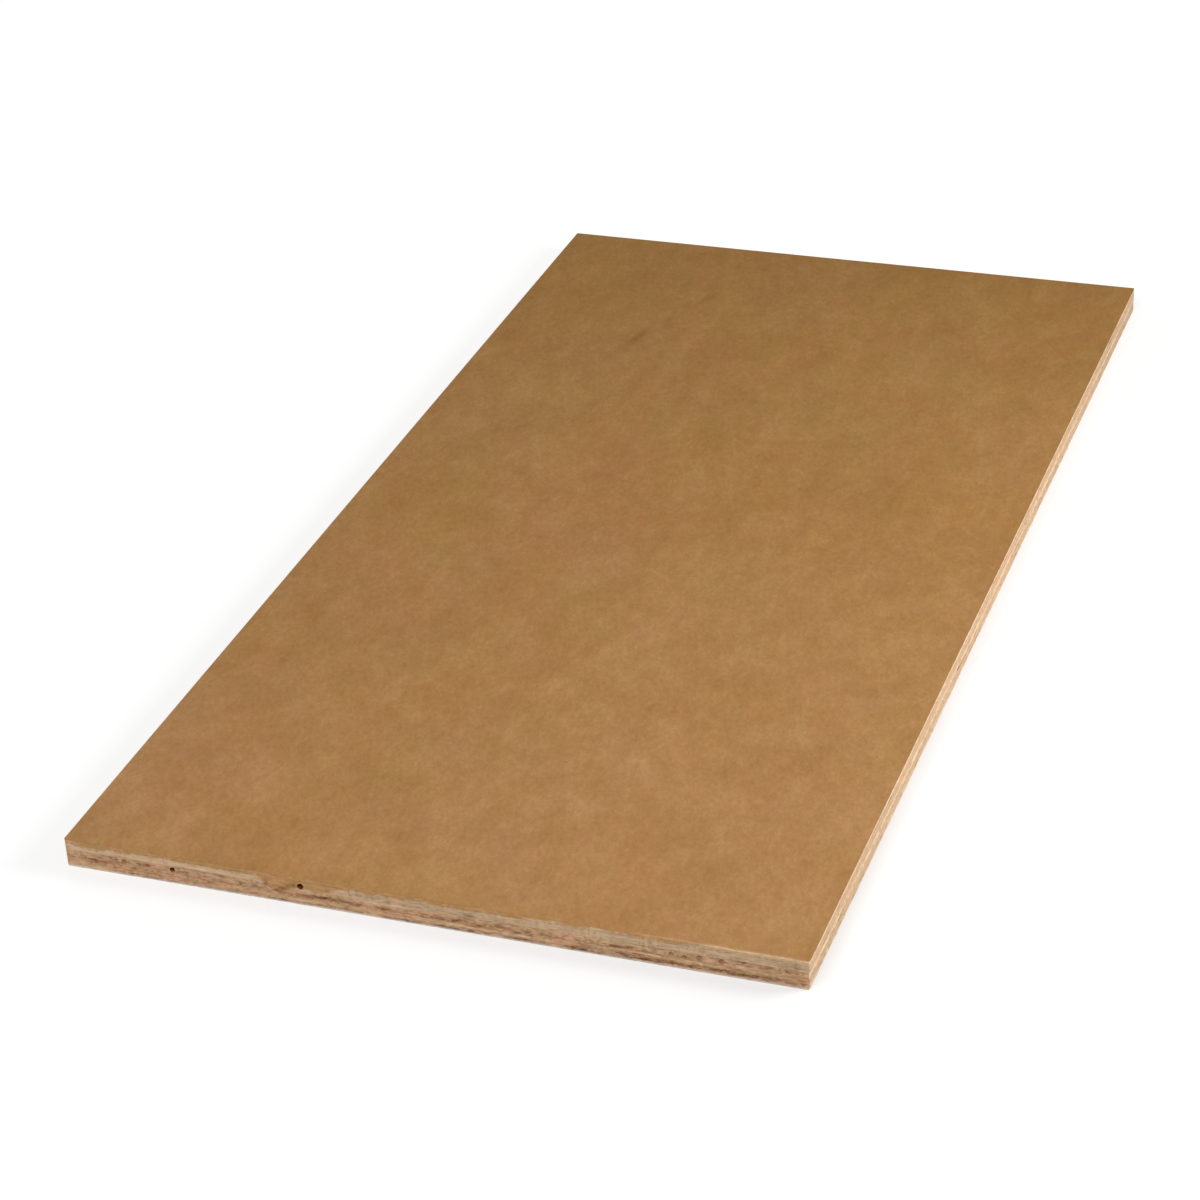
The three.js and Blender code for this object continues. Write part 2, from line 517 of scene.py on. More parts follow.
def ring_surface(name, rings, attributes):
    """A closed mesh from an array of rings, whose points run anticlockwise and which rise."""
    count, size = rings.shape[:2]
    index = np.arange(count * size).reshape(count, size)
    after = np.roll(index, -1, axis=1)
    quads = np.stack([index[:-1], after[:-1], after[1:], index[1:]], axis=-1)
    faces = quads.reshape(-1, 4).tolist()
    faces += [index[0][::-1].tolist(), index[-1].tolist()]
    flat = {}
    for label, values in attributes.items():
        flat[label] = np.broadcast_to(values, index.shape).ravel()
    return finish_mesh(name, rings.reshape(-1, 3), faces, flat)


# %% [markdown]
# ## Marks on the near end
#
# The brown of the resin reaches over the arris and down the end, and round the knot it runs
# deep into the crossband. Other marks are streaks: dark ones where glue or dirt fills a
# tear, pale ones where fresh wood has broken out. Low down by the floor the dark streaks are
# painted shadow, and along the worn top arris a bright line is torn fibre with a painted
# highlight. Sap and mould tint it pink or green in places. A painted image could hold them,
# but it would blur close by and need a file. Here each is a soft bell of its own place, size
# and strength. Their sum is a number on every point of the mesh, which the material turns
# into colour.

# %% Stain line
# Places in millimetres from the left, each with the share of the height where brown begins
stain_edge = [
    (0, 0.86), (5, 0.84), (11, 0.79), (24, 0.80), (32, 0.82), (62, 0.84), (66, 0.90), (70, 0.86),
    (84, 0.80), (100, 0.83), (124, 0.82), (128, 0.66), (132, 0.46), (137, 0.36), (142, 0.42),
    (146, 0.54), (150, 0.60), (161, 0.60), (170, 0.62), (175, 0.75), (184, 0.83), (197, 0.77),
    (210, 0.81), (235, 0.80), (252, 0.83), (261, 0.80), (284, 0.85), (289, 0.80), (299, 0.91),
    (307, 0.97), (314, 0.90), (324, 0.91), (332, 0.97), (345, 0.92), (356, 0.89), (367, 0.85),
    (376, 0.91), (384, 0.87), (390, 0.96), (396, 1.05), (458, 1.12),
]
stain_ragged = 0.09
stain_ragged_size = (7 * mm, 2 * mm)
stain_softness = 0.07
fibre_ragged = 0.06
fibre_ragged_size = (1.5 * mm, 9 * mm)
end_depth = 3 * mm


def at_near_end(y):
    """1 on the near end, fading to 0 within a few millimetres of it."""
    return bump_at(y, near, end_depth)


def stain_line(x, z):
    """The ragged line along the near end above which the wood is brown, as a share of height."""
    places, shares = np.array(stain_edge).T
    line = np.interp((x - left) / mm, places, shares)
    line = line + stain_ragged * sized_cloud(x, z, stain_ragged_size, seed=31, octaves=5)
    return line + fibre_ragged * sized_cloud(x, z, fibre_ragged_size, seed=38, octaves=2)


def stain_field(x, y, z):
    """How brown the wood is, from 0 to 1."""
    line = stain_line(x, z)
    return rise(z / top, line - stain_softness, line + stain_softness) * at_near_end(y)


edge_shares = [share for _, share in stain_edge]
print("the stain begins between", min(edge_shares), "and", max(edge_shares), "of the height")

# %% Places of the streaks
# Each mark: millimetres from the left, share of the height, reach to each side and up and
# down in millimetres, and strength
# Dark marks low down by the floor are painted shadow along the lowest arris, the rest glue and dirt
# in tears
dark_and_shadow_streaks = [
    (5, 0.38, 3, 1.0, 0.34), (10, 0.13, 3, 0.7, 0.5), (12, 0.48, 4, 0.8, 0.26),
    (18, 0.10, 2, 0.7, 0.5), (22, 0.74, 2.5, 1.0, 0.5), (22, 0.37, 10, 1.6, 0.85),
    (33, 0.54, 2.4, 1.1, 0.8), (37, 0.68, 3, 0.9, 0.5), (43, 0.10, 6, 0.6, 0.8),
    (45, 0.30, 2.5, 1.4, 0.75), (49, 0.50, 1.6, 1.3, 0.42), (52, 0.52, 5, 1.0, 0.5),
    (55, 0.76, 2.5, 0.9, 0.4), (56, 0.08, 5, 0.5, 1.0), (65, 0.50, 1.5, 1.6, 0.42),
    (68, 0.07, 3, 0.5, 0.6), (77, 0.64, 3, 0.8, 0.5), (78, 0.45, 3, 1.4, 0.34),
    (78, 0.12, 5, 0.5, 0.5), (86, 0.74, 2, 0.9, 0.4), (86, 0.07, 4, 0.5, 0.5),
    (88, 0.08, 3, 0.5, 0.4), (90, 0.46, 4, 0.9, 0.34), (92, 0.31, 5, 0.8, 0.34),
    (97, 0.09, 5, 0.6, 0.9), (97.5, 0.60, 2, 0.8, 0.7), (103, 0.57, 1.6, 0.8, 0.5),
    (110, 0.33, 8, 0.8, 0.3), (111, 0.08, 6, 0.5, 0.8), (112, 0.76, 4, 0.9, 0.4),
    (113, 0.42, 3, 1.0, 0.75), (123, 0.40, 3, 0.9, 0.38), (130, 0.58, 1.1, 2.4, 0.9),
    (134, 0.34, 8, 1.4, 0.25), (137, 0.40, 2.6, 1.2, 0.75), (140.5, 0.50, 2.0, 1.4, 0.8),
    (141, 0.08, 8, 0.6, 1.15), (143.5, 0.60, 2.0, 1.4, 0.8), (147.5, 0.67, 2.2, 1.4, 1.0),
    (148, 0.33, 18, 1.1, 0.38), (156, 0.31, 2.5, 1.6, 0.45), (160, 0.09, 8, 0.7, 1.0),
    (167, 0.03, 3, 0.5, 0.4), (168, 0.36, 24, 1.5, 0.3), (170, 0.39, 14, 0.9, 0.75),
    (170, 0.67, 5, 1.2, 0.4), (172, 0.32, 5, 0.7, 0.4), (178, 0.11, 6, 0.7, 0.9),
    (185, 0.3, 4, 0.7, 0.4), (188, 0.34, 4, 1.3, 0.52), (190, 0.08, 4, 0.5, 0.5),
    (202, 0.37, 7, 0.9, 0.68), (205, 0.27, 2.5, 1.0, 0.4), (205, 0.03, 6, 0.5, 0.5),
    (207, 0.09, 8, 0.6, 1.0), (208, 0.3, 4, 0.7, 0.4), (212, 0.4, 6, 0.8, 0.4),
    (220, 0.07, 7, 0.6, 1.2), (223, 0.02, 5, 0.5, 0.6), (226, 0.62, 3.5, 0.9, 0.6),
    (235, 0.07, 45, 0.7, 0.25), (236, 0.38, 5, 1.2, 0.59), (236, 0.10, 5, 0.6, 0.6),
    (240, 0.02, 4, 0.5, 0.4), (244, 0.32, 3, 0.8, 0.4), (245, 0.03, 12, 0.5, 0.6),
    (247, 0.08, 8, 0.6, 1.2), (249, 0.38, 5, 1.0, 0.85), (256.5, 0.08, 2.4, 0.6, 1.2),
    (257, 0.62, 5, 1.6, 0.7), (262, 0.35, 3.5, 0.9, 0.94), (262, 0.03, 3, 0.5, 0.7),
    (266, 0.10, 5, 0.6, 0.6), (269, 0.35, 3, 0.9, 0.51), (275, 0.46, 7, 0.9, 0.68),
    (284.5, 0.30, 3.4, 0.9, 0.94), (285, 0.10, 8, 0.7, 1.1), (290, 0.02, 8, 0.5, 0.6),
    (291, 0.42, 3.5, 1.1, 0.59), (300, 0.08, 4, 0.5, 0.42), (309, 0.38, 4, 1.1, 0.85),
    (318, 0.12, 6, 0.9, 0.85), (321, 0.07, 3, 0.6, 0.51), (322, 0.08, 5, 0.7, 0.5),
    (325, 0.10, 3, 0.9, 1.02), (331, 0.40, 5, 0.8, 0.34), (332, 0.08, 3, 0.7, 0.6),
    (338, 0.07, 7, 0.5, 0.68), (344, 0.68, 6, 1.3, 0.6), (344, 0.43, 4, 0.8, 0.77),
    (347, 0.85, 5, 1.2, 0.35), (348, 0.18, 4, 0.9, 0.77), (352, 0.47, 5, 1.1, 0.68),
    (355, 0.90, 4, 0.8, 0.3), (355, 0.1, 5, 0.8, 0.5), (361, 0.15, 4, 1.1, 0.77),
    (362, 0.38, 2, 1.0, 0.42), (369, 0.12, 2, 0.8, 0.94), (378, 0.18, 4, 0.9, 0.59),
    (388, 0.14, 3, 1.0, 0.84), (396, 0.15, 66, 2.2, 0.58), (403, 0.75, 2, 0.9, 0.4),
    (404, 0.42, 2, 0.8, 0.34), (405, 0.16, 6, 1.1, 0.3), (418.5, 0.60, 4.6, 0.75, 1.0),
    (419, 0.15, 8, 1.3, 0.4), (420, 0.51, 26, 1.0, 0.55), (420, 0.22, 34, 1.6, 0.2),
    (433, 0.18, 3, 1.6, 0.4), (434, 0.55, 3, 1.2, 0.5), (438, 0.23, 4, 2.0, 0.35),
    (445, 0.54, 3, 1.2, 0.6), (445, 0.20, 3, 1.6, 0.35), (449, 0.74, 4, 2.4, 0.4),
    (449, 0.14, 2, 1.3, 0.45), (452, 0.24, 3, 2.2, 0.35), (454, 0.19, 1.6, 1.6, 0.4),
]
pale_streaks = [
    (5, 0.70, 3, 2.2, 0.7), (8, 0.10, 9, 0.9, 0.8), (10, 0.47, 3, 1.2, 0.5),
    (12, 0.26, 3, 0.9, 0.5), (14, 0.68, 6, 1.0, 0.4), (15, 0.04, 9, 0.7, 0.7),
    (20, 0.12, 5, 0.8, 0.7), (29, 0.70, 3, 1.0, 0.5), (30, 0.03, 6, 0.6, 0.4),
    (42, 0.06, 3, 0.5, 0.5), (42, 0.74, 8, 0.9, 0.4), (50, 0.66, 3, 0.8, 0.4),
    (59, 0.65, 3.4, 1.4, 1.0), (64, 0.34, 1.6, 2.2, 0.5), (70, 0.72, 5, 1.0, 0.5),
    (82, 0.73, 8, 1.4, 0.5), (91, 0.72, 6, 1.0, 0.9), (100, 0.68, 3, 0.8, 0.5),
    (106, 0.72, 6, 1.2, 0.4), (107, 0.48, 3, 1.0, 0.6), (113, 0.66, 5, 1.0, 0.3),
    (116, 0.25, 5, 1.0, 0.5), (120, 0.49, 4, 0.7, 0.4), (126.5, 0.62, 1.0, 1.6, 0.5),
    (147, 0.23, 7, 0.7, 0.5), (150, 0.16, 24, 0.8, 0.3), (153, 0.54, 4, 0.7, 0.7),
    (155, 0.12, 4, 1.0, 0.6), (172, 0.55, 11, 0.7, 0.5), (174, 0.17, 6, 0.8, 0.4),
    (178, 0.74, 3, 1.2, 0.4), (181, 0.57, 3, 0.7, 0.6), (195, 0.19, 12, 0.8, 0.4),
    (200, 0.53, 14, 0.8, 1.1), (213, 0.56, 4, 0.8, 0.5), (222, 0.19, 10, 0.8, 0.5),
    (228, 0.55, 6, 0.8, 0.4), (245, 0.22, 6, 0.8, 1.1), (262, 0.22, 26, 0.7, 0.4),
    (267, 0.22, 4, 0.8, 0.8), (277, 0.24, 3, 0.8, 0.7), (288, 0.22, 3.5, 0.7, 1.1),
    (295, 0.87, 5, 0.8, 0.9), (304, 0.60, 4, 0.8, 0.6), (304, 0.21, 5, 0.7, 0.7),
    (307.5, 0.92, 1.8, 1.0, 1.0), (319, 0.50, 3, 2.0, 0.4), (333, 0.92, 4, 0.9, 0.8),
    (334, 0.13, 3, 0.8, 0.6), (335, 0.55, 4, 0.9, 0.5), (335, 0.74, 6, 1.4, 0.3),
    (337, 0.28, 5, 0.9, 0.5), (342, 0.58, 10, 0.7, 0.5), (345, 0.33, 5, 0.6, 0.6),
    (345, 0.54, 28, 2.2, 0.12), (350, 0.60, 4, 0.7, 0.5), (364, 0.05, 6, 0.7, 0.45),
    (365, 0.33, 9, 0.7, 0.9), (367, 0.88, 8, 1.2, 0.2), (391, 0.05, 4, 0.7, 0.8),
    (400, 0.46, 3.4, 1.2, 0.4), (402, 0.06, 5, 0.7, 0.8), (402, 0.34, 22, 0.9, 0.9),
    (419, 0.42, 4, 1.1, 0.9), (420, 0.44, 30, 3.2, 0.13), (425, 0.78, 2, 0.9, 0.6),
    (426, 0.08, 4, 0.7, 0.6), (436, 0.95, 16, 0.8, 0.4),
]
torn_places = [
    (8, 0.75, 4, 3.0, 0.4), (66, 0.80, 7, 3.5, 0.6), (183, 0.70, 4, 3.0, 0.5),
    (300, 0.72, 8, 3.6, 0.55), (331, 0.72, 9, 3.6, 0.75), (364, 0.72, 8, 3.6, 0.8),
    (392, 0.75, 9, 3.4, 0.6), (450, 0.60, 6, 4.0, 0.5),
]
streaks = pale_streaks + [(*place, -strength) for *place, strength in dark_and_shadow_streaks]
print(len(streaks), "streaks and", len(torn_places), "torn places")

# %% Tone of the near end
sway = 1.6 * mm
sway_size = (2.4 * mm, 0.8 * mm)
lift = 0.55 * mm
lift_size = (3 * mm, 1.2 * mm)
upright_size = (1.1 * mm, 8 * mm)
# The bright line along the worn top arris: torn fibre with a painted highlight
bright_arris_x = left + 388 * mm
bright_arris_fade = 20 * mm
bright_arris_height = 0.45 * mm
bright_arris = 0.54
bright_arris_gaps = 0.35
bright_arris_wave = 5 * mm
pale_rim = 0.5
pale_rim_end = left + 118 * mm
pale_rim_fade = 10 * mm
pale_rim_width = 0.04


def streak_sum(x, z, marks):
    """The sum of long low bells, one for each mark."""
    total = np.zeros(np.broadcast(x, z).shape)
    for from_left, share, reach, height, strength in marks:
        bell = bump_at(x, left + from_left * mm, reach * mm) * bump_at(z, share * top, height * mm)
        total = total + strength * bell
    return total


def torn_line_and_highlight(x, z):
    """The bright line along the worn arris, torn fibre with a painted highlight: a bell at its
    height, broken by noise.
    """
    worn = rise(x, bright_arris_x, bright_arris_x + bright_arris_fade)
    gaps = cloud(x / bright_arris_wave, 0 * x, seed=39, octaves=2)
    worn = worn * (1 + bright_arris_gaps * gaps)
    return bright_arris * worn * bump_at(z, top - bright_arris_height, bright_arris_height)


def tone_field(x, y, z):
    """Darker, down to -1, or paler, up to 1: streaks frayed by shifting the points at which
    they are read, whose dark ones near the floor are painted shadow, a bright line at the
    arris, torn fibre with a painted highlight, and a pale rim under the stain."""
    moved_x = x + sway * sized_cloud(x, z, sway_size, seed=34, octaves=3)
    moved_z = z + lift * sized_cloud(x, z, lift_size, seed=35, octaves=3)
    tone = streak_sum(moved_x, moved_z, streaks)
    upright = sized_cloud(x, z, upright_size, seed=37, octaves=2)
    tone = tone + upright * streak_sum(x, z, torn_places) + torn_line_and_highlight(x, z)
    rimmed = 1 - rise(x, pale_rim_end, pale_rim_end + pale_rim_fade)
    rim_line = stain_line(x, z) - stain_softness
    tone = tone + pale_rim * rimmed * bump_at(z / top, rim_line, pale_rim_width)
    return tone * at_near_end(y)


line = tone_field(probe, near, top / 2)
print("halfway up, the tone runs from", line.min().round(2), "to", line.max().round(2))

# %% Tints
# Marks as above, whose strength is above 0 for pink and below it for green
tint_marks = [
    (5, 0.20, 4, 2.0, 0.6), (10, 0.13, 4, 0.9, -0.7), (21, 0.88, 7, 2.0, -0.9),
    (24, 0.60, 8, 1.0, 0.4), (45, 0.30, 3, 1.2, -0.7), (58, 0.55, 4, 2.4, 0.9),
    (78, 0.50, 4, 1.6, -0.3), (106, 0.50, 4, 1.6, 0.7), (112, 0.88, 12, 1.6, -0.6),
    (113, 0.42, 4, 1.4, -0.6), (138, 0.44, 6, 1.4, 0.6), (155, 0.18, 34, 2.0, -0.25),
    (156, 0.32, 2.4, 2.0, 0.8), (178, 0.70, 4, 1.4, 0.3), (197, 0.70, 12, 1.4, -0.9),
    (200, 0.54, 12, 1.0, 0.6), (221, 0.66, 9, 1.4, -0.8), (245, 0.22, 6, 1.0, 0.6),
    (257, 0.65, 4, 1.6, -1.1), (276, 0.24, 4, 1.0, -0.8), (298, 0.55, 3, 2.8, -0.9),
    (311, 0.47, 5, 1.4, 0.3), (320, 0.50, 3, 2.4, 0.6), (327, 0.68, 2.4, 3.0, -0.7),
    (345, 0.54, 28, 2.4, -0.3), (355, 0.88, 5, 1.6, -0.4), (365, 0.33, 6, 1.0, 0.5),
    (381, 0.52, 4, 1.6, -0.7), (384, 0.84, 4, 2.0, -0.6), (400, 0.45, 4, 1.6, 0.8),
    (405, 0.18, 8, 1.2, -0.6), (420, 0.42, 30, 3.4, -0.3), (434, 0.18, 4, 1.0, 0.6),
    (437, 0.80, 14, 2.4, -0.4), (450, 0.70, 2.6, 3.6, -1.1), (456, 0.45, 2, 5.0, 1.0),
]


def tint_field(x, y, z):
    """Pinker, above 0, or greener, below it: a few broad marks on the near end."""
    return streak_sum(x, z, tint_marks) * at_near_end(y)


print(len(tint_marks), "tints")

# %% [markdown]
# ## Dust, painted bounce light and painted shade in hollows
#
# Dust and bruised fibre make the lowest arris pale, with painted light bounced up from the
# floor. The inside of a hollow is painted darker than its own shadow makes it: painted shade.
# Both could be left to the light, but lamps this soft fill small hollows, so each gets a
# number of its own.

# %% Dust and painted shade in hollows
dust_height = 1.8 * mm
dust_full = 0.2  # of dust_height, below which the dust is at its thickest
dust_share = 0.8
dust_elsewhere = 0.5  # of what lies at the near end
dust_mean, dust_swing = 0.75, 0.5
dust_size = (5 * mm, 1.5 * mm)
# The shares where the dark begins and is full, and its strength: each for openness 0 and 1
dark_begins = (-2.5, -0.6)
dark_is_full = (0.75, -0.1)
darkness = (0.15, 1.0)


def dust_and_bounce_field(x, y, z):
    """Pale dust and bruised fibre along the lower arris, with painted light bounced up from the
    floor: most at the floor, none at dust_height, and broken by noise along the edge."""
    patchy = dust_mean + dust_swing * sized_cloud(x, y + z, dust_size, seed=36, octaves=3)
    share = dust_share * (dust_elsewhere + (1 - dust_elsewhere) * at_near_end(y))
    return share * patchy * (1 - rise(z, dust_full * dust_height, dust_height))


def hollow_shade_field(x, y, z):
    """How much painted shade darkens a hollow: all of it in an open mouth, and a faint,
    soft smudge that spreads past the rim where it is packed."""
    total = np.zeros(np.broadcast(x, z).shape)
    for each in hollows:
        pairs = dark_begins, dark_is_full, darkness
        begins, full, dark = (np.interp(each.openness, (0, 1), pair) for pair in pairs)
        total = np.maximum(total, dark * rise(hollow_share(x, y, z, each), begins, full))
    return total


print("dust reaches", round(dust_height / mm, 1), "mm up the edges")

# %% [markdown]
# ## The veneers
#
# Each veneer is a band along the outline, pushed in by the relief. Its two flat sides are
# one face each, set in from the band by a narrow rim. A solid block with the layers painted
# on would be simpler, but a real edge shows each layer standing a little out or back. The
# numbers that go with every point say how far the cut is across the grain, how near it is to
# a glue line, and which of the marks it carries.

# %% Band of a veneer
rim = 0.6 * mm
row_height = 0.32 * mm
arris_round = 0.3 * mm
band_calm = [1.0, 1.0, 1.0, 0.6, 0.7]  # of the relief and the patches, from the floor up
flush_share = 0.9
flush_reach = 0.7 * mm
corner_inset = 0.9  # of the corner radius, so that points set in don't cross in a corner
straight_inset = 1.0  # metres, which is as good as no limit
straight_enough = 0.01


def layer_heights(number):
    """The heights of a veneer's two flat sides at every point of the outline: glue lines, but
    for the sheet's own underside and the top of the face veneer."""
    x, y = points.T
    low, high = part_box(stack[number])
    bottom = glue_height(number, x, y) if number > 0 else np.full(len(x), low.z)
    ceiling = glue_height(number + 1, x, y) if number < face else np.full(len(x), high.z)
    return bottom, ceiling


def cut_wall(number, z, end_grain):
    """The sawn wall: outline point minus outward normal times relief. The lowest arris of the
    sheet is rounded a little, and the highest is cut nearly flush with the paper."""
    x, y = points.T
    relief = saw_relief(along, z, end_grain, seed=40 + 7 * number)
    relief = relief + arris_round * rise(2 * arris_round - z, 0, 2 * arris_round) ** 2
    relief = relief * band_calm[number]
    if number == face:
        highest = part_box(stack[number])[1].z
        relief = relief * (1 - flush_share * bump_at(z, highest, flush_reach))
    relief = np.maximum(relief, hollow_depth(x, y, z))
    wall = np.stack([x - normals[:, 0] * relief, y - normals[:, 1] * relief, z], axis=-1)
    return wall, relief


def set_in(relief, z):
    """A ring further in by the rim, at which a flat side begins."""
    in_corner = np.abs(normals[:, 0] * normals[:, 1]) > straight_enough
    limit = np.where(in_corner, corner_inset * corner_radius, straight_inset)
    inset = points - normals * np.minimum(rim + relief, limit)[:, None]
    return np.column_stack([inset, z])[None]


print("a wall has", round(mm / row_height, 1), "rows of points to the millimetre")

# %% Glue, patches and mottle
glue_width = 0.26 * mm
glue_gaps = 26 * mm
glue_onset = (-0.35, 0.45)
glue_faint = 0.55  # of a glue line is lost at the near end
patch_tone = 0.55
patch_sizes = {True: (5 * mm, 1.3 * mm), False: (9 * mm, 1.3 * mm)}  # by grain_along
mottle_tone = 0.65
mottle_size = (1.9 * mm, 1.2 * mm)
resin_calm = 0.6


def glue_field(number, z, bottom, ceiling):
    """1 on a glue line, falling off to each side, and gone where a slow noise is low."""
    lines = [bottom] * (number > 0) + [ceiling] * (number < face)
    nearness = np.max([bump_at(z, line, glue_width) for line in lines], axis=0)
    shown = rise(cloud(along / glue_gaps, along * 0, seed=90 + number), *glue_onset)
    return nearness * shown * (1 - glue_faint * at_near_end(points[:, 1]))


def uneven_field(number, grain_along, z, stain):
    """Patches and mottle, darker and paler, and less of both where the resin has soaked in."""
    patches = sized_cloud(along, z, patch_sizes[grain_along], seed=70 + number)
    mottle = sized_cloud(along, z, mottle_size, seed=80 + number, octaves=2)
    uneven = (patch_tone * patches + mottle_tone * mottle) * (1 - resin_calm * stain)
    return uneven * band_calm[number]


# %% Make the veneers
tint_strength = 1.6
tint_size = (5 * mm, 1.5 * mm)
fresh_crossband = 0.25  # how much paler the crossbands are away from the near end


def make_veneer(number):
    """One veneer: a ring set in, the wall in rows from one glue line to the other, and a ring
    set in again. The underside, which begins at the lowest ring, carries no marks: it is a
    plain face of the veneer."""
    x, y = points.T
    grain_along = number % 2 == 0
    end_grain = normals[:, 1 if grain_along else 0] ** 2
    low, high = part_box(stack[number])
    bottom, ceiling = layer_heights(number)
    rows = int((high.z - low.z) / row_height) + 1
    z = bottom + (ceiling - bottom) * np.linspace(0, 1, rows)[:, None]
    wall, relief = cut_wall(number, z, end_grain)
    rings = np.concatenate([set_in(relief[0], bottom), wall, set_in(relief[-1], ceiling)])
    height = np.concatenate([bottom[None], z, ceiling[None]])
    stain = stain_field(x, y, height)
    fresh = fresh_crossband * (number % 2) * (1 - at_near_end(y))
    tinted = sized_cloud(along, height, tint_size, seed=85 + number, octaves=3)
    underside = np.zeros((len(height), 1))
    underside[0] = 1
    attributes = {
        "end_grain": end_grain[None, :],
        "glue": glue_field(number, height, bottom, ceiling),
        "stain": stain,
        "tone": tone_field(x, y, height) + uneven_field(number, grain_along, height, stain) + fresh,
        "tint": tint_field(x, y, height) + tint_strength * tinted,
        # dust holds pale dust with painted light bounced up from the floor
        "dust": dust_and_bounce_field(x, y, height),
        # hollow holds painted shade in the hollows
        "hollow": hollow_shade_field(x, y, height),
    }
    attributes = {label: values * (1 - underside) for label, values in attributes.items()}
    attributes["underside"] = underside
    return ring_surface(stack[number] + "_wood", rings, attributes)


veneers = [make_veneer(number) for number in range(len(stack))]

# %% [markdown]
# ## The wood
#
# A tree ring is pale wood from spring and a thin dark band from late summer. A veneer is
# peeled round the log, so its rings lie nearly flat in it: on every edge they show as lines
# along the veneer, long where the cut follows the grain and broken where it crosses it. One
# solid texture gives both: a noise stretched most along the grain and squeezed through
# the thickness, then folded into bands. The Wave texture makes bands too, but evenly spaced
# ones. The underside of the sheet is a peeled face, where the same rings lie so flat that
# they show as wide arches, a folded noise of its own.

# %% Colour helpers
def srgb(red, green, blue):
    """A colour written as on a screen, 0 to 255, as the linear values that Blender wants."""
    share = np.array([red, green, blue]) / 255
    linear = np.where(share <= 0.04045, share / 12.92, ((share + 0.055) / 1.055) ** 2.4)
    return (*linear.tolist(), 1.0)


def grey(value):
    """A grey for a ramp or a mix."""
    return (value, value, value, 1.0)


def blend(tree, factor, first, second, mode="MIX"):
    """Mixes two colours, each a value or a socket."""
    made = node(tree, "Mix", {0: factor, 6: first, 7: second}, data_type="RGBA", blend_type=mode)
    return made.outputs[2]


def attribute(tree, label):
    """A number that was stored with the points of the mesh."""
    return node(tree, "Attribute", attribute_name=label).outputs["Fac"]


def stretched_noise(tree, scale, detail=3.0, roughness=0.5, distortion=0.0, lean=0.0, shift=0.0):
    """Noise on Object coordinates, with its own scale along X, Y and Z, in grains a metre, or
    along axes that lean anticlockwise from X and Y. Two noises of nearly the same scale rise
    and fall together, unless one is shifted by some metres to another part of the pattern."""
    inputs = {
        "Vector": node(tree, "TexCoord").outputs["Object"],
        "Location": (shift, shift, 0),
        "Rotation": (0, 0, lean),
        "Scale": [1 / each for each in scale],
    }
    mapped = node(tree, "Mapping", inputs, vector_type="TEXTURE").outputs[0]
    inputs = {
        "Vector": mapped,
        "Scale": 1.0,
        "Detail": detail,
        "Roughness": roughness,
        "Distortion": distortion,
    }
    return node(tree, "TexNoise", inputs).outputs[0]


def ramp(tree, value, *stops):
    """A ramp from (place, colour) stops."""
    made = node(tree, "ValToRGB", {0: value})
    elements = made.color_ramp.elements
    while len(elements) < len(stops):
        elements.new(0.5)
    for element, (place, colour) in zip(elements, stops):
        element.position = place
        element.color = colour
    return made.outputs[0]


def varied(tree, colour, value, low, high, share=1.0):
    """Multiplies a colour by one factor where a value is low and by another where it is high.
    low and high are each a place on the value and the factor that is reached there."""
    return blend(tree, share, colour, ramp(tree, value, low, high), "MULTIPLY")


def finish_shader(tree, output, colour, height, shine, bump):
    """What each finish ends in: a shader of that colour and shine, over a bump of that height."""
    normal = node(tree, "Bump", {"Height": height, **bump}).outputs[0]
    inputs = {"Base Color": colour, "Normal": normal, **shine}
    shader = node(tree, "BsdfPrincipled", inputs)
    tree.links.new(shader.outputs[0], output.inputs["Surface"])


# %% Colours of the wood
umber = srgb(106, 64, 32)
# A grey for the dark streaks near the floor: painted shadow
floor_shadow_grey = srgb(98, 84, 74)
floor_shadow_height = 3 * mm
glue_brown = srgb(92, 60, 38)
# Pale wood, and the painted highlight along the worn arris
fresh_cream_and_highlight = srgb(208, 178, 144)
blush_pink = srgb(206, 152, 122)
moss = srgb(160, 138, 96)
resin_brown = srgb(172, 127, 76)
# Painted shade inside the hollows
hollow_shade = srgb(112, 50, 6)
# Pale dust, with painted light bounced up from the floor
dust_and_bounce_pale = srgb(224, 213, 201)

# How each noise is folded and shaded, and how strongly each number on the points works
ring_folds = 5.0
ring_stops = ((0.0, grey(0.9)), (0.1, grey(0.0)), (0.6, grey(0.1)), (1.0, grey(1.0)))
arch_folds = 16.0
arch_stops = ((0.0, grey(0.75)), (0.12, grey(0.0)), (0.55, grey(0.1)), (1.0, grey(0.9)))
fibre_greys = ((0.25, grey(0.78)), (0.75, grey(1.2)))
fibre_share = 0.8
warmths = ((0.3, (1.03, 1.0, 0.9, 1)), (0.7, (0.97, 1.0, 1.1, 1)))
tint_full = 0.5
stain_full = 0.92
tone_full = 0.75
glue_full = 0.8
late_relief = 0.4
wood_shine = {"Roughness": 0.85, "Specular IOR Level": 0.15}
wood_bump = {"Distance": 0.12 * mm, "Strength": 0.7}
print("where its noise is 1, the wood's bump rises", round(wood_bump["Distance"] / mm, 2), "mm")

# %% Wood material
def bands(tree, noise, folds, stops):
    """Rings: a noise times the number of folds, less its whole part, through a ramp."""
    return ramp(tree, maths(tree, "FRACT", maths(tree, "MULTIPLY", noise, folds)), *stops)


def led(tree, colour, value, strength, target):
    """Leads a colour towards a target, by value times strength held from 0 to 1."""
    return blend(tree, maths(tree, "MULTIPLY", value, strength, clamp=True), colour, target)


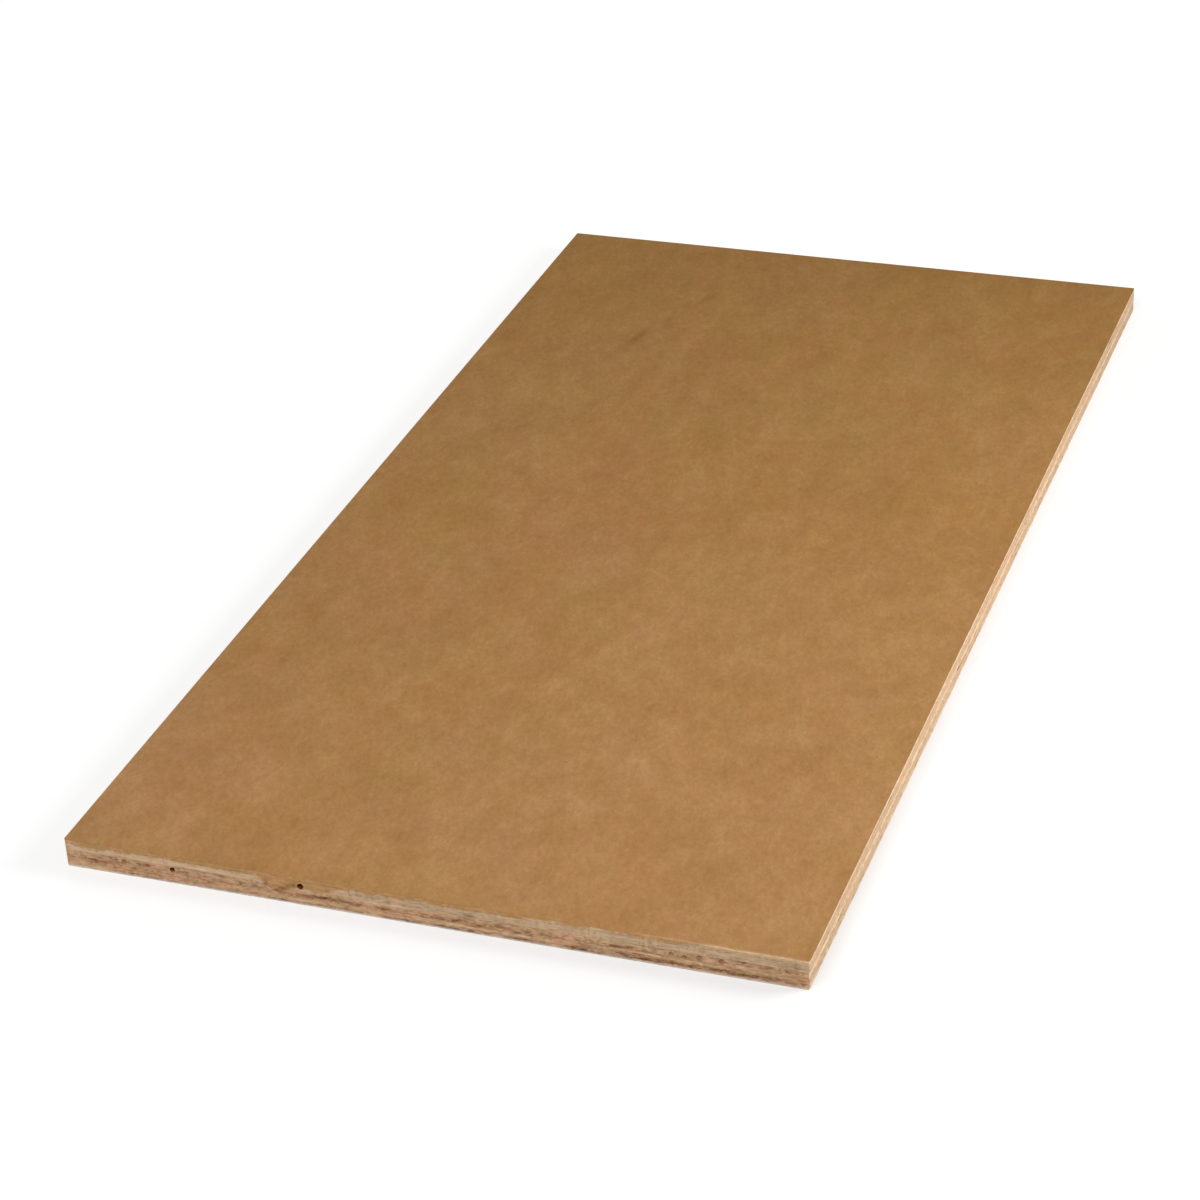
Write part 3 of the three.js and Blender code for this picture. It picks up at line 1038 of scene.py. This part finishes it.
def wood(name, grain_along, side, side_late, end, end_late):
    """Sawn softwood with its grain along the sheet or across it. side is the colour of a cut
    along the fibres and end that of a cut across them, each with its late wood."""
    material, tree, output = new_material(name)

    def grain_noise(across, along_grain, upward, **settings):
        """Noise with its own scale for each direction of the wood."""
        plan = (across, along_grain) if grain_along else (along_grain, across)
        return stretched_noise(tree, (*plan, upward), **settings)

    slow = grain_noise(85, 13, 560, detail=2.5, roughness=0.55, distortion=0.2)
    peeled = grain_noise(7, 0.9, 7, detail=4.0, roughness=0.45, distortion=0.5)
    late = bands(tree, slow, ring_folds, ring_stops)
    wide_late = bands(tree, peeled, arch_folds, arch_stops)
    late = blend(tree, attribute(tree, "underside"), late, wide_late)
    along_cut = blend(tree, late, side, side_late)
    across_cut = blend(tree, late, end, end_late)
    colour = blend(tree, attribute(tree, "end_grain"), along_cut, across_cut)

    stained = blend(tree, stain_full, colour, resin_brown)
    colour = blend(tree, attribute(tree, "stain"), colour, stained)
    tint = attribute(tree, "tint")
    colour = led(tree, colour, tint, tint_full, blush_pink)
    colour = led(tree, colour, tint, -tint_full, moss)
    fibre = grain_noise(900, 60, 2600, detail=3.0, roughness=0.6)
    colour = varied(tree, colour, fibre, *fibre_greys, fibre_share)
    warmth = stretched_noise(tree, (190, 190, 650), detail=3.0, roughness=0.7)
    colour = varied(tree, colour, warmth, *warmths)

    tone = attribute(tree, "tone")
    place = node(tree, "SeparateXYZ", {0: node(tree, "TexCoord").outputs["Object"]})
    raised = maths(tree, "DIVIDE", place.outputs["Z"], floor_shadow_height, clamp=True)
    # Dark streaks: a grey near the floor, which is painted shadow, and umber above it
    colour = led(tree, colour, tone, -tone_full, blend(tree, raised, floor_shadow_grey, umber))
    # Paler: fresh wood, and a painted highlight along the worn arris
    colour = led(tree, colour, tone, tone_full, fresh_cream_and_highlight)
    glued = maths(tree, "MULTIPLY", attribute(tree, "glue"), glue_full)
    colour = blend(tree, glued, colour, glue_brown)
    # Pale dust and painted bounce light along the lowest arris
    colour = blend(tree, attribute(tree, "dust"), colour, dust_and_bounce_pale)
    # Painted shade in the hollows
    colour = blend(tree, attribute(tree, "hollow"), colour, hollow_shade)

    height = maths(tree, "ADD", maths(tree, "MULTIPLY", late, late_relief), fibre)
    finish_shader(tree, output, colour, height, wood_shine, wood_bump)
    return material


# %% Dress the veneers
pale_side, pale_side_late = srgb(230, 203, 171), srgb(204, 168, 132)
fair_end, fair_end_late = srgb(204, 172, 136), srgb(182, 146, 110)
cream_side, cream_side_late = srgb(188, 161, 130), srgb(181, 153, 122)
peach_side, peach_side_late = srgb(193, 152, 116), srgb(165, 124, 90)
face_end, face_end_late = srgb(184, 154, 119), srgb(172, 142, 108)
dull_end, dull_end_late = srgb(188, 150, 116), srgb(160, 122, 88)
dark_end, dark_end_late = srgb(198, 166, 138), srgb(174, 142, 113)
veneer_looks = {
    "back_veneer": ("outer_veneer", pale_side, pale_side_late, dark_end, dark_end_late),
    "lower_crossband": ("crossband", peach_side, peach_side_late, fair_end, fair_end_late),
    "centre_ply": ("centre", pale_side, pale_side_late, dull_end, dull_end_late),
    "upper_crossband": ("crossband", cream_side, cream_side_late, fair_end, fair_end_late),
    "face_veneer": ("outer_veneer", pale_side, pale_side_late, face_end, face_end_late),
}
for number, piece in enumerate(veneers):
    node_name = stack[number]
    slot, *colours = veneer_looks[node_name]
    piece.data.materials.append(wood(node_name + "_grain", number % 2 == 0, *colours))
    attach(piece, "root")
    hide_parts(node_name)
print("five veneers dressed")

# %% [markdown]
# ## The paper face
#
# The overlay is paper 0.3 mm thick. It follows the veneer under it, so it is never quite
# flat, and where the near arris has been knocked about it has torn away. A plane with a
# Solidify modifier would do for the sheet of paper, but its torn edge has to be shaped. So
# the top is a grid of heights over the plan: fine steps at the edges, long ones between.

# %% Edges of the paper
paper_low, paper_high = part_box("face_overlay")
wear_x = left + 335 * mm
wear_fade = 60 * mm
wear_depth = 1.0 * mm
wear_ripple = 0.45 * mm
wear_wave = 31 * mm
wear_fray = 0.25 * mm
wear_fray_wave = 1.7 * mm


def corner_lift(x):
    """How far the outline stands back from a straight end at x, in the rounded corners:
    the radius less the root of radius squared minus distance squared."""
    over = np.clip(np.abs(x) - (right - corner_radius), 0, corner_radius)
    return corner_radius - np.sqrt(corner_radius**2 - over**2)


def paper_wear(x):
    """How far the paper has worn back at x: two waves about a mean, with a frayed edge."""
    run = np.maximum(0, x - wear_x)
    phase = 2 * np.pi * run / wear_wave
    wander = (np.sin(phase) + np.sin(phase * math.sqrt(2) + 1)) / 2
    frayed = wear_fray * cloud(x / wear_fray_wave, 0 * x, seed=60, octaves=3)
    return rise(run, 0, wear_fade) * (wear_depth + wear_ripple * wander + frayed)


def spread(low, high, step, fine, growth):
    """Places from low to high: the first gap is fine, each next one growth times wider until
    it reaches step, and the far end mirrors the near end."""
    gaps = [fine]
    while gaps[-1] * growth < step:
        gaps.append(gaps[-1] * growth)
    edge = np.append(0, np.cumsum(gaps))
    count = int((high - low - 2 * edge[-1]) / step) + 2
    middle = np.linspace(low + edge[-1], high - edge[-1], count)
    return np.concatenate([low + edge[:-1], middle, (high - edge[:-1])[::-1]])


print("the paper has worn back by up to", (paper_wear(probe) / mm).max().round(2), "mm")

# %% Paper surface
worn_onset = 0.5 * mm
worn_reach = 0.7 * mm
worn_drop = 0.1 * mm
sag_depth = 0.1 * mm
sag_size = (70 * mm, 70 * mm)
bevel = 0.1 * mm
paper_inset = 0.05 * mm
column_step, column_growth = 1.5 * mm, 1.35
row_step, row_growth = 6 * mm, 1.4


def paper_top():
    """The points of the top, row by row, and how worn each is. Its border stands a bevel
    lower than the rest, and the whole sags with a slow noise."""
    columns = spread(left + paper_inset, right - paper_inset, column_step, bevel, column_growth)
    share = (spread(near, far, row_step, bevel, row_growth) - near) / (far - near)
    start = near + paper_inset + corner_lift(columns) + paper_wear(columns)
    end = far - paper_inset - corner_lift(columns)
    x = np.broadcast_to(columns, (len(share), len(columns)))
    y = start + (end - start) * share[:, None]
    worn = rise(paper_wear(x), 0, worn_onset) * bump_at(y, start, worn_reach)
    sag = 0.5 + 0.5 * sized_cloud(x, y, sag_size, seed=61, octaves=3)
    z = paper_high.z - sag_depth * sag - worn_drop * worn
    z[[0, -1]] -= bevel
    z[1:-1, [0, -1]] -= bevel
    return np.stack([x, y, z], axis=-1), worn


def make_paper():
    """The top grid, whose border ring goes straight down to the veneer and is closed there."""
    grid, worn = paper_top()
    index = np.arange(worn.size).reshape(worn.shape)
    quads = np.stack([index[:-1, :-1], index[:-1, 1:], index[1:, 1:], index[1:, :-1]], axis=-1)
    border = np.concatenate([index[0, :-1], index[:-1, -1], index[-1, :0:-1], index[:0:-1, 0]])
    surface = grid.reshape(-1, 3)
    foot = surface[border].copy()
    foot[:, 2] = paper_low.z
    below = np.arange(len(border)) + len(surface)
    walls = np.stack([below, np.roll(below, -1), np.roll(border, -1), border], axis=-1)
    faces = quads.reshape(-1, 4).tolist() + walls.tolist() + [below[::-1].tolist()]
    torn = np.append(worn.ravel(), worn.ravel()[border])
    return finish_mesh("face_overlay_paper", np.vstack([surface, foot]), faces, {"torn": torn})


paper = make_paper()

# %% [markdown]
# ## The paper's finish
#
# Kraft paper is cloudy: its fibres settle in flocks, and the resin soaks the thick ones and
# the thin ones unevenly. A picture of paper would repeat over a face this large. Noise with
# nearly equal strength at every size, from a hand's width to a fibre's, gives clouds that
# don't. Towards the far end the brown is painted deeper and darker: painted shade, where
# less light reaches. Three dark scuffs are stretched spots, made from the distance to a
# point on the sheet.

# %% Colours of the paper
paper_dark = srgb(141.3, 98.8, 55.6)
paper_mean = srgb(160, 118.5, 74.8)
paper_light = srgb(180.4, 140.3, 97.0)
torn_fibre, torn_full = srgb(188, 158, 120), 0.5
flock_lean = math.radians(21)
cloud_lean = flock_lean / 4

# What a colour is multiplied by where a noise is low and where it is high
warm_factors = ((0.3, (1.012, 1.003, 0.908, 1)), (0.7, (0.988, 0.997, 1.097, 1)))
slow_factors = ((0.3, (0.982, 0.966, 0.944, 1)), (0.7, (1.018, 1.034, 1.058, 1)))
tint_factors = ((0.3, (1.053, 0.975, 1.053, 1)), (0.7, (0.947, 1.025, 0.947, 1)))
flock_factors = ((0.25, (0.909, 0.897, 0.87, 1)), (0.75, (1.08, 1.092, 1.117, 1)))
speck_stops = ((0.76, grey(0.0)), (0.84, grey(0.45)))
speck_brown = srgb(104, 72, 42)
gloss_stops = ((0.3, grey(0.58)), (0.7, grey(0.68)))
paper_bump = {"Distance": 0.03 * mm, "Strength": 0.5}
print("the flocks of the paper lean by", round(math.degrees(flock_lean)), "degrees")

# %% Resin and scuffs
# Each scuff: millimetres from the left and from the near end, width and length in
# millimetres, lean, strength and colour
scuffs = [
    (111, 739, 11, 50, math.radians(-9), 0.36, srgb(108, 72, 38)),
    (142, 817, 15, 38, math.radians(-20), 0.32, srgb(126, 78, 44)),
    (118, 842, 11, 26, math.radians(-10), 0.22, srgb(108, 82, 46)),
]
# The far end is painted browner and darker: painted shade where less light reaches
far_falloff_tint = (1.0, 0.985, 0.74, 1.0)
far_falloff_rate = 1.05  # how fast the painted shade grows browner, for each metre towards the far end
far_shade, far_power = 0.91, 4.0
seeped = (0.965, 0.975, 0.93, 1.0)
seep_reach = 16 * mm
seep_end = right - 90 * mm
seep_rate = 12.0  # how fast the seeping ends there, for each metre


def scuff(tree, x, y, width, length, lean, strength):
    """A dark spot: 1 at its middle, falling to 0 on an ellipse of that width and length."""
    inputs = {
        "Vector": node(tree, "TexCoord").outputs["Object"],
        "Location": (left + x * mm, near + y * mm, top),
        "Rotation": (0, 0, lean),
        "Scale": (width * mm / 2, length * mm / 2, 1.0),
    }
    local = node(tree, "Mapping", inputs, vector_type="TEXTURE").outputs[0]
    distance = node(tree, "VectorMath", {0: local}, operation="LENGTH").outputs["Value"]
    return ramp(tree, distance, (0.2, grey(strength)), (1.0, grey(0.0)))


def resin(tree, colour, place):
    """Browner towards the far end and darkest just there, which is painted shade where less light
    reaches, and seeped in along the near arris.
    """
    away = maths(tree, "MULTIPLY", place.outputs["Y"], far_falloff_rate)
    away = maths(tree, "ADD", 0.5, away, True)
    colour = blend(tree, away, colour, blend(tree, 1.0, colour, far_falloff_tint, "MULTIPLY"))
    last = maths(tree, "POWER", away, far_power)
    colour = blend(tree, last, colour, blend(tree, 1.0, colour, grey(far_shade), "MULTIPLY"))
    inwards = maths(tree, "DIVIDE", maths(tree, "SUBTRACT", place.outputs["Y"], near), seep_reach)
    sideways = maths(tree, "SUBTRACT", seep_end, place.outputs["X"])
    sideways = maths(tree, "MULTIPLY", sideways, seep_rate, True)
    seep = maths(tree, "MULTIPLY", maths(tree, "SUBTRACT", 1.0, inwards, True), sideways)
    return blend(tree, seep, colour, blend(tree, 1.0, colour, seeped, "MULTIPLY"))


# %% Paper material
def kraft_paper():
    """Cloudy brown paper under a thin, satin skin of resin."""
    material, tree, output = new_material("kraft_paper")
    place = node(tree, "SeparateXYZ", {0: node(tree, "TexCoord").outputs["Object"]})
    leaning = {"lean": flock_lean}
    clouds = stretched_noise(tree, (33, 19.5, 34), detail=8.0, roughness=0.97, lean=cloud_lean)
    warmth = stretched_noise(tree, (14, 10, 14), detail=5.0, roughness=0.92, shift=3.0, **leaning)
    slow = stretched_noise(tree, (5, 4, 5), detail=2.0, roughness=0.5)
    tints = stretched_noise(tree, (14.5, 10, 15), detail=7.0, roughness=0.95, shift=7.0, **leaning)
    flocks = stretched_noise(tree, (360, 164, 330), detail=4.0, roughness=0.8, **leaning)
    specks = stretched_noise(tree, (900, 700, 800), detail=1.0, roughness=0.4)

    colour = ramp(tree, clouds, (0.25, paper_dark), (0.5, paper_mean), (0.75, paper_light))
    colour = varied(tree, colour, warmth, *warm_factors)
    # Painted shade towards the far end, and resin seeped in along the near arris
    colour = resin(tree, colour, place)
    colour = varied(tree, colour, slow, *slow_factors)
    colour = varied(tree, colour, tints, *tint_factors)
    colour = varied(tree, colour, flocks, *flock_factors)
    colour = blend(tree, ramp(tree, specks, *speck_stops), colour, speck_brown)
    for *shape, scuffed in scuffs:
        colour = blend(tree, scuff(tree, *shape), colour, scuffed)
    torn = maths(tree, "MULTIPLY", attribute(tree, "torn"), torn_full)
    colour = blend(tree, torn, colour, torn_fibre)
    shine = {"Roughness": ramp(tree, clouds, *gloss_stops), "Specular IOR Level": 0.05}
    finish_shader(tree, output, colour, flocks, shine, paper_bump)
    return material


paper.data.materials.append(kraft_paper())
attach(paper, "root")
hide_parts("face_overlay")
print("the paper dressed, with", len(scuffs), "scuffs")
